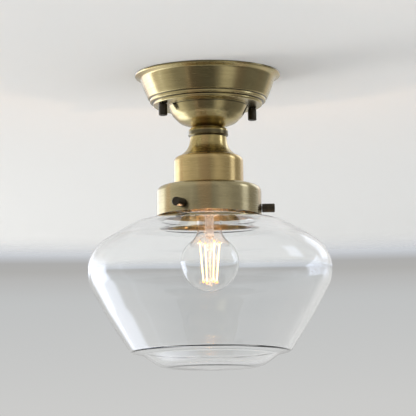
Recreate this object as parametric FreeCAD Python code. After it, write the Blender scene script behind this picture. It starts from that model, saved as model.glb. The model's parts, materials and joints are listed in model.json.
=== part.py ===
"""Semi flush ceiling light: brass canopy, turned neck, cup and gallery, clear glass shade, E27 lamp.

Millimetres, +Z up. The origin is on the light's axis in the ceiling plane, so everything hangs
below z = 0. +X runs along the ceiling strap, through the two canopy screws.
"""
import FreeCAD
import Part
import math
import os

Vector = FreeCAD.Vector
Z_AXIS = Vector(0, 0, 1)
ORIGIN = Vector(0, 0, 0)
FULL_TURN = 360.0

# ---------------------------------------------------------------- driving dimensions
# Sheet and fits
sheet_wall = 1.2
running_gap = 0.05          # radial, thread or pin in its hole
slip_gap = 0.3              # between pieces that move past each other
seat_gap = 0.1              # radial, between pieces fixed to each other
cut_margin = 1.0            # how far a cutting tool stands past the face it cuts

# Canopy, pressed from brass sheet: radii, and the height of each step going down
canopy_rim_r = 75.0
canopy_rim_edge = 2.0
canopy_rim_round = 1.2
canopy_flare_r = 69.6
canopy_flare_height = 2.6
canopy_flare_round = 3.0
canopy_side_r = 66.3
canopy_side_height = 9.4
canopy_side_curve = 24.0
canopy_step_r = 61.6
canopy_step_height = 11.2
canopy_step_round = 1.2
bead_r = 59.8
bead_height = 3.0
bead_round = 1.2
bead_groove = 0.8
bead_root_round = 0.3
lip_r = 56.3
lip_height = 3.8
lip_round = 1.56
annulus_inner_r = 41.2
annulus_edge_round = 0.48
dome_shoulder_r = 36.9
dome_shoulder_drop = 9.5
dome_shoulder_curve = 15.6
dome_lower_r = 29.4
dome_lower_drop = 7.9
dome_lower_curve = 14.4
dome_foot_r = 15.4
dome_foot_drop = 5.2
dome_foot_curve = 3.6

# Strap that is screwed to the ceiling
strap_thickness = 2.0
strap_width = 22.0
strap_screw_inset = 8.0     # from a canopy screw's hole to the foot of the step
strap_joggle = 5.0
strap_drop = 10.0
strap_bend_r = 2.5
strap_end_margin = 6.0
ceiling_hole_spacing = 51.0
ceiling_slot_length = 10.0
ceiling_slot_width = 5.2
cable_hole_r = 5.0
cable_hole_x = -7.0

# Canopy screws: barrel heads outside, long threaded shanks up into the strap
canopy_screw_pcr = 49.0
barrel_r = 4.5
barrel_chamfer = 0.6
shank_r = 1.95
canopy_head_length = 12.0
canopy_shank_above_strap = 4.0
head_bore_depth = 8.0
canopy_hole_r = 2.5

# Terminal block, under the strap beside the cable hole
block_way_pitch = 10.0
block_ways = 3
block_width = 17.0
block_height = 14.0
block_start_x = 2.0
block_bore_r = 1.7
block_screw_r = 1.6
block_screw_height = 5.0
block_fixing_r = 1.5
block_fixing_head_r = 2.6
block_fixing_head = 2.0

# Threaded tube that carries neck, cup and lampholder
tube_r = 5.0
tube_bore_r = 3.9
tube_above_nut = 4.0
tube_in_lampholder = 4.5
nut_across_flats = 15.0
nut_height = 4.0
washer_r = 9.0
washer_thickness = 1.0
tag_r = 8.4
tag_thickness = 0.8
tag_barrel_r = 1.7
tag_barrel_start = 9.6
tag_barrel_length = 7.0
tag_tongue_root = 2.0       # how far the tongue reaches into the ring
tag_tilt = 30.0

# Neck, turned from brass bar
neck_collar_height = 0.3
neck_bead_r = 20.7
neck_bead_rise = 1.2
neck_bead_height = 7.1
neck_bead_round_top = 4.0
neck_bead_round_low = 1.5
neck_waist_r = 19.0
neck_waist_rise = 1.6
neck_waist_round = 0.8
neck_stem_r = 19.5
neck_stem_height = 6.9
neck_stem_curve = 24.0
neck_flare_r = 22.6
neck_flare_height = 7.0
neck_flare_curve = 16.0
neck_foot_margin = 0.5      # inside the flat of the cup's top
neck_foot_height = 5.6
neck_foot_edge = 0.4

# Cup and gallery
cup_r = 35.8
cup_height = 31.3
cup_corner_r = 6.0
gallery_r = 53.8
gallery_height = 30.5
gallery_corner_r = 6.5

# Thumbscrews that hold the shade
thumbscrew_count = 3
thumbscrew_first = -20.5    # degrees, about +Z from +X
thumbscrew_above_rim = 7.5
thumb_head_length = 13.0
thumb_head_gap = 0.4

# Lampholder, E27
holder_boss_r = 9.0
holder_boss_height = 7.6
holder_cap_out = 1.3        # past the skirt
holder_cap_slope = 6.0
holder_wall = 1.6
skirt_r = 19.5
skirt_wall = 1.9
skirt_length = 32.0
skirt_round = 0.5
skirt_mouth_gap = 2.3       # radial, round the lamp's thread
skirt_lip_height = 1.4
flange_out = 3.5            # past the skirt
flange_thickness = 2.0
insert_thickness = 7.0
insert_gap = 0.2            # radial, in the skirt
insert_bottom_drop = 2.0    # below the gallery's top face
holder_terminal_side = 6.0
holder_terminal_height = 5.4
holder_terminal_offset = 6.5
holder_screw_r = 1.5
holder_screw_length = 2.0
ring_out = 6.5              # past the skirt
ring_height = 4.6
ring_round = 0.6
contact_r = 5.0
contact_thickness = 0.9

# E27 screw thread of lamp and lampholder
thread_pitch = 3.63
thread_turns = 5
cap_crest_r = 13.1
cap_root_r = 12.2
thread_round = 0.8
thread_wall = 0.4

# Lamp
button_r = 3.6
button_height = 0.9
insulator_margin = 1.0      # round the button
insulator_height = 3.2
cap_skirt = 3.4
bulb_globe_r = 30.0
bulb_neck_r = 12.5
bulb_neck_curve_r = 22.0
bulb_wall = 0.9
bulb_length = 105.0
bulb_neck_in_cap = 2.0
stem_tube_r = 4.6
stem_tube_round = 1.0
stem_flare_height = 6.0
stem_flare_round = 2.0
stem_knob_r = 5.4
stem_knob_length = 6.0
stem_knob_round = 1.5
stem_knob_rise = 2.35       # above the filaments' tops
stem_rod_r = 1.3
stem_rod_round_top = 0.4
stem_rod_round_low = 0.3
stem_button_r = 2.6
stem_button_length = 3.0
stem_button_round = 0.8
filament_count = 4
filament_first = 4.5        # degrees, about +Z from +X
filament_r = 0.75
filament_foot_rise = 9.0    # above the globe's tip
filament_height = 44.0
filament_top_pcr = 11.3
filament_bottom_pcr = 7.4
filament_wire_r = 0.3

# Glass shade
glass_wall = 2.6
shade_fit_gap = 2.4         # radial, from the lip to the gallery
shade_lip_out = 2.7         # past the neck
shade_neck_length = 17.2
shade_neck_root_r = 3.0
shade_lip_height = 4.2
shade_lip_round = 1.4
shade_throat_r = 76.0
shade_throat_drop = 3.3
shade_throat_curve = 26.0
shade_belly_apex_r = 138.2
shade_belly_apex_drop = 35.8
shade_belly_curve = 38.0
shade_side_r = 105.2
shade_side_drop = 60.4
shade_side_curve = 110.0
shade_corner_r = 81.8
shade_corner_drop = 36.8
shade_corner_curve = 4.6
shade_ledge_r = 69.3
shade_ledge_drop = 3.0
shade_ledge_curve = 2.8
shade_bowl_r = 52.0
shade_bowl_drop = 12.75
shade_bowl_curve = 30.0
shade_base_drop = 2.85

# Internal leads
lead_r = 0.9
lead_pitch = 1.3            # from the tube's axis
lead_bend = 0.45            # share of the shorter run that an arc takes up
lead_out = 12.0
lead_fall = 16.0
lead_reach = 3.5
lead_gather = 0.8           # share of a way's offset, and of the fall, kept at the first turn
lead_inward = 0.6           # share of the block's reach kept at the next turn
lead_midway = 0.45          # share of a way's offset and level kept there
lead_above_tube = 8.0
lead_tail = 5.5             # straight run above a lampholder terminal
lead_swing = 4.3            # drop of the run that swings out to it
earth_approach = 5.25       # straight run into the tag's barrel
earth_inward = 0.87         # share of the reach kept above the tag
earth_midway = 0.3          # share of the way's level kept there

# ---------------------------------------------------------------- sizes and levels worked out
strap_pad_half = canopy_screw_pcr - strap_screw_inset
lead_bore_height = strap_thickness + block_height / 2
neck_foot_r = cup_r - cup_corner_r - neck_foot_margin
holder_cap_r = skirt_r + holder_cap_out
flange_r = skirt_r + flange_out
ring_r = skirt_r + ring_out
insert_r = skirt_r - skirt_wall - insert_gap
skirt_lip_r = cap_crest_r + skirt_mouth_gap
insulator_r = cap_root_r - 2 * thread_wall
shade_lip_r = gallery_r - sheet_wall - shade_fit_gap
shade_neck_r = shade_lip_r - shade_lip_out
canopy_height = (canopy_rim_edge + canopy_flare_height + canopy_side_height + canopy_step_height
                 + bead_groove + bead_height + lip_height)
annulus_z = -canopy_height
dome_bottom_z = annulus_z - dome_shoulder_drop - dome_lower_drop - dome_foot_drop
dome_floor_z = dome_bottom_z + sheet_wall
neck_height = (neck_collar_height + neck_bead_rise + neck_bead_height + neck_waist_rise
               + neck_stem_height + neck_flare_height + neck_foot_height + neck_foot_edge)
cup_top_z = dome_bottom_z - neck_height
gallery_top_z = cup_top_z - cup_height
gallery_rim_z = gallery_top_z - gallery_height
thumbscrew_z = gallery_rim_z + thumbscrew_above_rim
holder_top_z = cup_top_z - sheet_wall
flange_top_z = gallery_top_z + flange_thickness
insert_bottom_z = gallery_top_z - insert_bottom_drop
insert_top_z = insert_bottom_z + insert_thickness
skirt_bottom_z = gallery_top_z - skirt_length + flange_thickness
contact_z = insert_bottom_z - contact_thickness - slip_gap
lamp_tip_z = contact_z - bulb_length
globe_z = lamp_tip_z + bulb_globe_r
filament_foot_z = lamp_tip_z + filament_foot_rise
filament_top_z = filament_foot_z + filament_height
lock_nut_z = dome_floor_z + washer_thickness + tag_thickness
tube_top_z = lock_nut_z + nut_height + tube_above_nut
tube_bottom_z = holder_top_z - tube_in_lampholder
tube_clear_r = tube_r + seat_gap
thread_clear_r = shank_r + running_gap
shade_lip_bottom_z = thumbscrew_z + shank_r + slip_gap
shade_lip_top_z = shade_lip_bottom_z + shade_lip_height
shade_neck_root_z = shade_lip_top_z - shade_neck_length
strap_end_z = -strap_drop


# ---------------------------------------------------------------- helpers
def at(radius, height, angle=0.0):
    """Point at a radius, angle in degrees and height about the light's axis."""
    turn = math.radians(angle)
    return Vector(radius * math.cos(turn), radius * math.sin(turn), height)


def tangent_arc(before, corner, after, radius):
    """Start, middle and end of the arc of this radius that rounds a corner."""
    back = (before - corner).normalize()
    ahead = (after - corner).normalize()
    half = back.getAngle(ahead) / 2
    reach = radius / math.tan(half)
    bisector = (back + ahead).normalize()
    centre = corner + bisector * (radius / math.sin(half))
    return corner + back * reach, centre - bisector * radius, corner + ahead * reach


def rounded_edges(points, radii):
    """Lines through the points, with a tangent arc at each corner whose radius isn't zero."""
    edges = []
    start = points[0]
    for index in range(1, len(points) - 1):
        if not radii[index]:
            edges.append(Part.LineSegment(start, points[index]).toShape())
            start = points[index]
            continue
        first, middle, last = tangent_arc(*points[index - 1:index + 2], radii[index])
        edges.append(Part.LineSegment(start, first).toShape())
        edges.append(Part.Arc(first, middle, last).toShape())
        start = last
    edges.append(Part.LineSegment(start, points[-1]).toShape())
    return edges


def outline(corners):
    """Split (radius, height[, rounding]) corners into points in the XZ plane and roundings."""
    points = [Vector(corner[0], 0, corner[1]) for corner in corners]
    radii = [corner[2] if len(corner) > 2 else 0.0 for corner in corners]
    return points, radii


def inset_outline(points, radii, wall):
    """The same outline moved to its right by the wall, walking from first point to last.

    An outline that ends on the axis still ends there.
    """
    steps = [(after - before).normalize() for before, after in zip(points, points[1:])]
    normals = [Vector(step.z, 0, -step.x) for step in steps]
    moved = [points[0] + normals[0] * wall]
    rounded = [0.0]
    for index in range(1, len(points) - 1):
        into, out = normals[index - 1], normals[index]
        mean = (into + out).normalize()
        moved.append(points[index] + mean * (wall / mean.dot(into)))
        turns_right = steps[index - 1].cross(steps[index]).y > 0
        change = -wall if turns_right else wall
        rounded.append(max(radii[index] + change, 0.0) if radii[index] else 0.0)
    last = points[-1] + normals[-1] * wall
    if not points[-1].x:
        last = last - steps[-1] * (last.x / steps[-1].x)
    moved.append(last)
    rounded.append(0.0)
    return moved, rounded


def revolve(edges):
    """Solid swept by a closed outline about the light's axis."""
    face = Part.Face(Part.Wire(Part.__sortEdges__(edges)))
    solid = face.revolve(ORIGIN, Z_AXIS, FULL_TURN)
    return solid if solid.ShapeType == "Solid" else Part.makeSolid(solid)


def turned(corners):
    """Solid of revolution inside a closed outline of corners."""
    points, radii = outline(corners)
    return revolve(rounded_edges(points + points[:1], radii + [0.0]))


def spun_shell(corners, wall):
    """Shell of revolution: an open outline of its outside, and the same outline inset."""
    points, radii = outline(corners)
    inner, inner_radii = inset_outline(points, radii, wall)
    edges = rounded_edges(points, radii) + rounded_edges(inner, inner_radii)
    edges.append(Part.LineSegment(points[0], inner[0]).toShape())
    edges.append(Part.LineSegment(points[-1], inner[-1]).toShape())
    return revolve(edges)


def ring(outer_r, inner_r, top_z, bottom_z):
    """Plain ring about the light's axis."""
    height = top_z - bottom_z
    outer = Part.makeCylinder(outer_r, height, Vector(0, 0, bottom_z))
    return outer.cut(Part.makeCylinder(inner_r, height, Vector(0, 0, bottom_z)))


def block(size_x, size_y, size_z, centre_x, centre_y, bottom_z):
    """Box centred over a point."""
    return Part.makeBox(size_x, size_y, size_z,
                        Vector(centre_x - size_x / 2, centre_y - size_y / 2, bottom_z))


def rod(start, end, radius):
    """Round rod from one point to another."""
    run = end - start
    return Part.makeCylinder(radius, run.Length, start, run)


def barrel_head(base, direction, length):
    """Barrel-shaped screw head with a chamfer at each end and a blind bore for its shank."""
    head = Part.makeCylinder(barrel_r, length, base, direction)
    rims = [edge for edge in head.Edges if isinstance(edge.Curve, Part.Circle)]
    head = head.makeChamfer(barrel_chamfer, rims)
    return head.cut(Part.makeCylinder(thread_clear_r, head_bore_depth + running_gap, base, direction))


def lead(points):
    """Insulated lead: straight runs joined by tangent arcs."""
    radii = [0.0]
    for before, corner, after in zip(points, points[1:], points[2:]):
        half_turn = (math.pi - (before - corner).getAngle(after - corner)) / 2
        shorter = min((before - corner).Length, (after - corner).Length)
        radii.append(lead_bend * shorter / math.tan(half_turn))
    radii.append(0.0)
    path = Part.Wire(rounded_edges(points, radii))
    start = points[0]
    section = Part.Wire(Part.Circle(start, points[1] - start, lead_r).toShape())
    print("lead: length %.1f, least bend radius %.1f" % (path.Length, min(radii[1:-1])))
    solid = path.makePipeShell([section], True, True)
    print("lead: volume / (section x length) = %.4f"
          % (solid.Volume / (math.pi * lead_r ** 2 * path.Length)))
    return solid


# ---------------------------------------------------------------- canopy and its fixing
def canopy():
    """Pressed canopy: rolled rim, flared side, two beads, flat annulus and inner dome."""
    flare_z = -canopy_rim_edge - canopy_flare_height
    side_z = flare_z - canopy_side_height
    step_z = side_z - canopy_step_height
    groove_z = step_z - bead_groove
    bead_z = groove_z - bead_height
    shoulder_z = annulus_z - dome_shoulder_drop
    lower_z = shoulder_z - dome_lower_drop
    corners = [
        (canopy_rim_r, 0),
        (canopy_rim_r, -canopy_rim_edge, canopy_rim_round),
        (canopy_flare_r, flare_z, canopy_flare_round),
        (canopy_side_r, side_z, canopy_side_curve),
        (canopy_step_r, step_z, canopy_step_round),
        (bead_r, groove_z, bead_root_round),
        (bead_r, bead_z, bead_round),
        (lip_r, bead_z - bead_groove, bead_root_round),
        (lip_r, annulus_z, lip_round),
        (annulus_inner_r, annulus_z, annulus_edge_round),
        (dome_shoulder_r, shoulder_z, dome_shoulder_curve),
        (dome_lower_r, lower_z, dome_lower_curve),
        (dome_foot_r, dome_bottom_z, dome_foot_curve),
        (tube_clear_r, dome_bottom_z),
    ]
    shell = spun_shell(corners, sheet_wall)
    for side in (1, -1):
        shell = shell.cut(Part.makeCylinder(canopy_hole_r, 3 * sheet_wall,
                                            Vector(side * canopy_screw_pcr, 0, annulus_z - sheet_wall)))
    return shell


def ceiling_strap():
    """Steel strap: flat pad on the ceiling, ends stepped down to take the canopy screws."""
    end_x = canopy_screw_pcr + strap_end_margin
    step_x = strap_pad_half + strap_joggle
    profile = [(-end_x, strap_end_z), (-step_x, strap_end_z), (-strap_pad_half, 0),
               (strap_pad_half, 0), (step_x, strap_end_z), (end_x, strap_end_z)]
    points = [Vector(x, 0, z) for x, z in profile]
    bends = [0.0] + [strap_bend_r + strap_thickness] * 4 + [0.0]
    bends[1] = bends[4] = strap_bend_r
    lower, lower_bends = inset_outline(points, bends, strap_thickness)
    edges = rounded_edges(points, bends) + rounded_edges(lower, lower_bends)
    edges.append(Part.LineSegment(points[0], lower[0]).toShape())
    edges.append(Part.LineSegment(points[-1], lower[-1]).toShape())
    face = Part.Face(Part.Wire(Part.__sortEdges__(edges)))
    face.translate(Vector(0, -strap_width / 2, 0))
    bar = face.extrude(Vector(0, strap_width, 0))
    deep = 3 * strap_thickness
    for side in (1, -1):
        half_run = (ceiling_slot_length - ceiling_slot_width) / 2
        middle = side * ceiling_hole_spacing / 2
        bar = bar.cut(block(2 * half_run, ceiling_slot_width, deep, middle, 0, -deep + cut_margin))
        for end in (middle - half_run, middle + half_run):
            bar = bar.cut(Part.makeCylinder(ceiling_slot_width / 2, deep, Vector(end, 0, -deep + cut_margin)))
        bar = bar.cut(Part.makeCylinder(thread_clear_r, deep,
                                        Vector(side * canopy_screw_pcr, 0, strap_end_z - deep + cut_margin)))
    bar = bar.cut(Part.makeCylinder(cable_hole_r, deep, Vector(cable_hole_x, 0, -deep + cut_margin)))
    fixing_x = block_start_x + block_width / 2
    for side in (1, -1):
        bar = bar.cut(Part.makeCylinder(block_fixing_r + running_gap, deep,
                                        Vector(fixing_x, side * block_way_pitch / 2, -deep + cut_margin)))
    return bar


def canopy_screw(side):
    """Head and shank of one canopy screw."""
    head_z = annulus_z - slip_gap
    x = side * canopy_screw_pcr
    head = barrel_head(Vector(x, 0, head_z), Vector(0, 0, -1), canopy_head_length)
    shank = rod(Vector(x, 0, head_z - head_bore_depth),
                Vector(x, 0, strap_end_z + canopy_shank_above_strap), shank_r)
    return head, shank


# ---------------------------------------------------------------- wiring in the canopy
def block_centre_x():
    """Middle of the terminal block along the strap."""
    return block_start_x + block_width / 2


def terminal_block():
    """Three-way terminal block: a body with a bore through each way and two screw wells a way."""
    top_z = -strap_thickness
    body = block(block_width, block_ways * block_way_pitch, block_height,
                 block_centre_x(), 0, top_z - block_height)
    well_bottom = -lead_bore_height
    screws = []
    for way in range(block_ways):
        y = (way - (block_ways - 1) / 2) * block_way_pitch
        body = body.cut(Part.makeCylinder(block_bore_r, block_width + 2 * cut_margin,
                                          Vector(block_start_x - cut_margin, y, -lead_bore_height),
                                          Vector(1, 0, 0)))
        for end in (-1, 1):
            x = block_centre_x() + end * block_width / 4
            foot = Vector(x, y, top_z - block_height)
            depth = well_bottom - block_bore_r - foot.z
            body = body.cut(Part.makeCylinder(block_screw_r + seat_gap, depth + block_bore_r, foot))
            screws.append(Part.makeCylinder(block_screw_r, min(block_screw_height, depth), foot))
    for side in (1, -1):
        hole = Vector(block_centre_x(), side * block_way_pitch / 2, top_z - block_height)
        body = body.cut(Part.makeCylinder(block_fixing_r + running_gap, block_height, hole))
    return body, Part.makeCompound(screws)


def block_fixings():
    """Two screws that hold the terminal block up against the strap."""
    bottom_z = -strap_thickness - block_height
    screws = []
    for side in (1, -1):
        foot = Vector(block_centre_x(), side * block_way_pitch / 2, bottom_z)
        head = Part.makeCylinder(block_fixing_head_r, block_fixing_head, foot - Z_AXIS * block_fixing_head)
        screws.append(head.fuse(Part.makeCylinder(block_fixing_r, block_height + strap_thickness, foot)))
    return Part.makeCompound(screws)


def supply_lead(side):
    """Lead from an outer way of the block, down the tube, to a terminal of the lampholder."""
    start_x = block_start_x + block_width
    way_y = side * (block_ways - 1) / 2 * block_way_pitch
    tube_y = side * lead_pitch
    terminal_y = side * holder_terminal_offset
    way_z = -lead_bore_height
    terminal_z = insert_top_z + holder_terminal_height
    tail_z = terminal_z + lead_tail
    return lead([
        Vector(start_x, way_y, way_z),
        Vector(start_x + lead_out, way_y, way_z),
        Vector(start_x + lead_out + lead_reach, way_y * lead_gather, way_z - lead_fall),
        Vector(start_x * lead_inward, way_y * lead_midway,
               (way_z - lead_fall) * lead_midway + tube_top_z * (1 - lead_midway)),
        Vector(0, tube_y, tube_top_z + lead_above_tube),
        Vector(0, tube_y, tail_z + lead_swing),
        Vector(0, terminal_y, tail_z),
        Vector(0, terminal_y, terminal_z),
    ])


def earth_tag():
    """Ring tag under the lock nut, with a tilted barrel for the earth lead."""
    bottom_z = dome_floor_z + washer_thickness
    plate = ring(tag_r, tube_clear_r, bottom_z + tag_thickness, bottom_z)
    inner_x = tag_r - tag_tongue_root
    outer_x = tag_barrel_start + tag_barrel_r
    tongue = block(outer_x - inner_x, 2 * tag_barrel_r, tag_thickness,
                   (outer_x + inner_x) / 2, 0, bottom_z)
    foot, tip = earth_barrel()
    return plate.fuse(tongue).fuse(rod(foot, tip, tag_barrel_r))


def earth_barrel():
    """Inner and outer end of the tag's barrel."""
    foot = Vector(tag_barrel_start, 0, dome_floor_z + washer_thickness + tag_barrel_r)
    tilt = math.radians(tag_tilt)
    return foot, foot + Vector(math.cos(tilt), 0, math.sin(tilt)) * tag_barrel_length


def earth_lead():
    """Lead from the middle way of the block to the earth tag."""
    start_x = block_start_x + block_width
    foot, tip = earth_barrel()
    way_z = -lead_bore_height
    along = (tip - foot).normalize()
    approach = tip + along * earth_approach
    turn_x = start_x + lead_out + lead_reach
    return lead([
        Vector(start_x, 0, way_z),
        Vector(start_x + lead_out, 0, way_z),
        Vector(turn_x, 0, way_z - lead_fall * lead_gather),
        Vector(turn_x * earth_inward, 0, way_z * earth_midway + approach.z * (1 - earth_midway)),
        approach,
        tip,
    ])


# ---------------------------------------------------------------- tube, neck, cup, gallery
def threaded_tube():
    """Hollow threaded tube from the canopy down into the lampholder's cap."""
    return ring(tube_r, tube_bore_r, tube_top_z, tube_bottom_z)


def lock_washer():
    """Washer on the dome's floor."""
    return ring(washer_r, tube_clear_r, dome_floor_z + washer_thickness, dome_floor_z)


def lock_nut():
    """Hexagon nut that draws the tube up through the canopy."""
    corner_r = nut_across_flats / 2 / math.cos(math.radians(30))
    corners = [at(corner_r, lock_nut_z, 60 * index) for index in range(7)]
    hexagon = Part.Face(Part.makePolygon(corners)).extrude(Z_AXIS * nut_height)
    return hexagon.cut(Part.makeCylinder(tube_clear_r, nut_height, Vector(0, 0, lock_nut_z)))


def neck():
    """Turned neck: collar in the dome's shadow, bead, waist and flare down to the cup."""
    bead_top_z = dome_bottom_z - neck_collar_height - neck_bead_rise
    bead_low_z = bead_top_z - neck_bead_height
    waist_z = bead_low_z - neck_waist_rise
    stem_z = waist_z - neck_stem_height
    flare_z = stem_z - neck_flare_height
    collar_r = dome_foot_r - sheet_wall
    return turned([
        (tube_clear_r, dome_bottom_z),
        (collar_r, dome_bottom_z),
        (collar_r, dome_bottom_z - neck_collar_height),
        (neck_bead_r, bead_top_z, neck_bead_round_top),
        (neck_bead_r, bead_low_z, neck_bead_round_low),
        (neck_waist_r, waist_z, neck_waist_round),
        (neck_stem_r, stem_z, neck_stem_curve),
        (neck_flare_r, flare_z, neck_flare_curve),
        (neck_foot_r, cup_top_z + neck_foot_edge),
        (neck_foot_r, cup_top_z),
        (tube_clear_r, cup_top_z),
    ])


def cup():
    """Spun cup that hides the lampholder's cap."""
    return spun_shell([
        (tube_clear_r, cup_top_z),
        (cup_r, cup_top_z, cup_corner_r),
        (cup_r, gallery_top_z),
    ], sheet_wall)


def gallery():
    """Spun gallery that holds the shade, with three tapped holes for the thumbscrews."""
    shell = spun_shell([
        (skirt_r + slip_gap, gallery_top_z),
        (gallery_r, gallery_top_z, gallery_corner_r),
        (gallery_r, gallery_rim_z),
    ], sheet_wall)
    for angle in thumbscrew_angles():
        shell = shell.cut(rod(at(gallery_r - 3 * sheet_wall, thumbscrew_z, angle),
                              at(gallery_r + 3 * sheet_wall, thumbscrew_z, angle), thread_clear_r))
    return shell


def thumbscrew_angles():
    """Directions of the thumbscrews about the axis."""
    return [thumbscrew_first + index * FULL_TURN / thumbscrew_count
            for index in range(thumbscrew_count)]


def thumbscrew(angle):
    """Head and shank of one thumbscrew, its tip just off the shade's neck."""
    tip_r = shade_neck_r + slip_gap
    head_r = gallery_r + thumb_head_gap
    head = barrel_head(at(head_r, thumbscrew_z, angle), at(1, 0, angle), thumb_head_length)
    shank = rod(at(tip_r, thumbscrew_z, angle),
                at(head_r + head_bore_depth, thumbscrew_z, angle), shank_r)
    return head, shank


# ---------------------------------------------------------------- lampholder
def lampholder_cap():
    """Cap with a threaded boss on the tube and a sloping shoulder over the terminals."""
    boss_z = holder_top_z - holder_boss_height
    shell = spun_shell([
        (holder_boss_r - holder_wall, boss_z),
        (holder_boss_r, boss_z, holder_wall / 2),
        (holder_cap_r, boss_z - holder_cap_slope, 2 * holder_wall),
        (holder_cap_r, flange_top_z),
    ], holder_wall)
    return shell.fuse(ring(holder_boss_r, tube_clear_r, holder_top_z, boss_z - holder_wall))


def lampholder_skirt():
    """Outer skirt with the flange that stands on the gallery, and a lip round its mouth."""
    inner_r = skirt_r - skirt_wall
    lip_top_z = skirt_bottom_z + skirt_lip_height
    return turned([
        (inner_r, flange_top_z),
        (flange_r, flange_top_z, skirt_round),
        (flange_r, gallery_top_z),
        (skirt_r, gallery_top_z),
        (skirt_r, skirt_bottom_z, skirt_round),
        (skirt_lip_r, skirt_bottom_z, skirt_round),
        (skirt_lip_r, lip_top_z),
        (inner_r, lip_top_z + (inner_r - skirt_lip_r) / 2),
    ])


def shade_ring():
    """Threaded ring that clamps the gallery against the skirt's flange."""
    top_z = gallery_top_z - sheet_wall
    bottom_z = top_z - ring_height
    step_r = (ring_r + skirt_r) / 2
    return turned([
        (skirt_r + seat_gap, top_z),
        (ring_r, top_z),
        (ring_r, bottom_z + ring_height / 2, ring_round),
        (step_r, bottom_z + ring_height / 2),
        (step_r, bottom_z, ring_round),
        (skirt_r + seat_gap, bottom_z),
    ])


def terminal_points():
    """Side and place of the two terminals on the insert."""
    return [(side, Vector(0, side * holder_terminal_offset, insert_top_z)) for side in (-1, 1)]


def lampholder_insert():
    """Ceramic insert that carries the terminals, the screw shell and the centre contact."""
    return Part.makeCylinder(insert_r, insert_thickness, Vector(0, 0, insert_bottom_z))


def holder_terminals():
    """Two brass terminal blocks on the insert, each with its clamp screw."""
    solids = []
    for side, foot in terminal_points():
        body = block(holder_terminal_side, holder_terminal_side, holder_terminal_height,
                     foot.x, foot.y, foot.z)
        outer_y = foot.y + side * holder_terminal_side / 2
        screw = rod(Vector(0, outer_y, foot.z + holder_terminal_height / 2),
                    Vector(0, outer_y + side * holder_screw_length,
                           foot.z + holder_terminal_height / 2), holder_screw_r)
        solids.append(body.fuse(screw))
    return Part.makeCompound(solids)


def centre_contact():
    """Sprung contact under the insert, on the lamp's axis."""
    return Part.makeCylinder(contact_r, contact_thickness,
                             Vector(0, 0, insert_bottom_z - contact_thickness))


def thread_corners(root_r, crest_r, top_z):
    """Rounded crests and roots of the screw thread, one pair a turn."""
    corners = []
    for turn in range(thread_turns):
        root_z = top_z - turn * thread_pitch
        corners.append((root_r, root_z, thread_round))
        corners.append((crest_r, root_z - thread_pitch / 2, thread_round))
    corners.append((root_r, top_z - thread_turns * thread_pitch, thread_round))
    return corners


def screw_shell():
    """Threaded shell of the lampholder, hung from the insert."""
    gap = slip_gap + thread_wall
    root_r, crest_r = cap_crest_r + gap, cap_crest_r + gap + (cap_crest_r - cap_root_r)
    thread_top_z = insert_bottom_z - insulator_height - button_height
    corners = ([(root_r, insert_bottom_z)] + thread_corners(root_r, crest_r, thread_top_z)
               + [(root_r, thread_top_z - thread_turns * thread_pitch - cap_skirt)])
    return spun_shell(corners, thread_wall)


# ---------------------------------------------------------------- lamp
def lamp_levels():
    """Heights of the lamp cap: top of its thread, foot of its shell."""
    thread_top_z = contact_z - button_height - insulator_height
    foot_z = thread_top_z - thread_turns * thread_pitch - cap_skirt
    return thread_top_z, foot_z


def lamp_contact():
    """Contact button at the lamp's end."""
    return Part.makeCylinder(button_r, button_height, Vector(0, 0, contact_z - button_height))


def lamp_insulator():
    """Glass insulator between the button and the screw cap."""
    top_z = contact_z - button_height
    return turned([
        (0, top_z),
        (button_r + insulator_margin, top_z),
        (insulator_r, top_z - insulator_height),
        (0, top_z - insulator_height),
    ])


def lamp_cap():
    """Screw cap of the lamp."""
    thread_top_z, foot_z = lamp_levels()
    collar_r = bulb_neck_r + thread_wall + seat_gap
    corners = [(insulator_r - thread_wall, thread_top_z), (cap_root_r, thread_top_z)]
    corners += thread_corners(cap_root_r, cap_crest_r, thread_top_z)[1:]
    corners += [(collar_r, foot_z + bulb_neck_in_cap + seat_gap), (collar_r, foot_z)]
    return spun_shell(corners, thread_wall)


def envelope_edges(inset):
    """Outline of the envelope, inset from its outside: neck, reverse curve and globe."""
    top_z = lamp_levels()[1] + bulb_neck_in_cap
    neck_r = bulb_neck_r - inset
    curve_x = bulb_neck_r + bulb_neck_curve_r
    rise = math.sqrt((bulb_neck_curve_r + bulb_globe_r) ** 2 - curve_x ** 2)
    curve_centre = Vector(curve_x, 0, globe_z + rise)
    globe_centre = Vector(0, 0, globe_z)
    towards = (curve_centre - globe_centre).normalize()
    globe_r = bulb_globe_r - inset
    curve_r = bulb_neck_curve_r + inset
    join = globe_centre + towards * globe_r
    neck_foot = Vector(neck_r, 0, curve_centre.z)
    half_way = (Vector(-1, 0, 0) - towards).normalize()
    side = Vector(globe_r, 0, globe_z)
    tip = Vector(0, 0, globe_z - globe_r)
    low = Vector(globe_r * math.sin(math.pi / 4), 0, globe_z - globe_r * math.cos(math.pi / 4))
    upper = (towards + Vector(1, 0, 0)).normalize() * globe_r
    return [
        Part.LineSegment(Vector(neck_r, 0, top_z), neck_foot).toShape(),
        Part.Arc(neck_foot, curve_centre + half_way * curve_r, join).toShape(),
        Part.Arc(join, globe_centre + upper, side).toShape(),
        Part.Arc(side, low, tip).toShape(),
    ]


def lamp_envelope():
    """Clear glass envelope."""
    top_z = lamp_levels()[1] + bulb_neck_in_cap
    edges = envelope_edges(0.0) + envelope_edges(bulb_wall)
    edges.append(Part.LineSegment(Vector(bulb_neck_r, 0, top_z),
                                  Vector(bulb_neck_r - bulb_wall, 0, top_z)).toShape())
    edges.append(Part.LineSegment(Vector(0, 0, lamp_tip_z),
                                  Vector(0, 0, lamp_tip_z + bulb_wall)).toShape())
    return revolve(edges)


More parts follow.
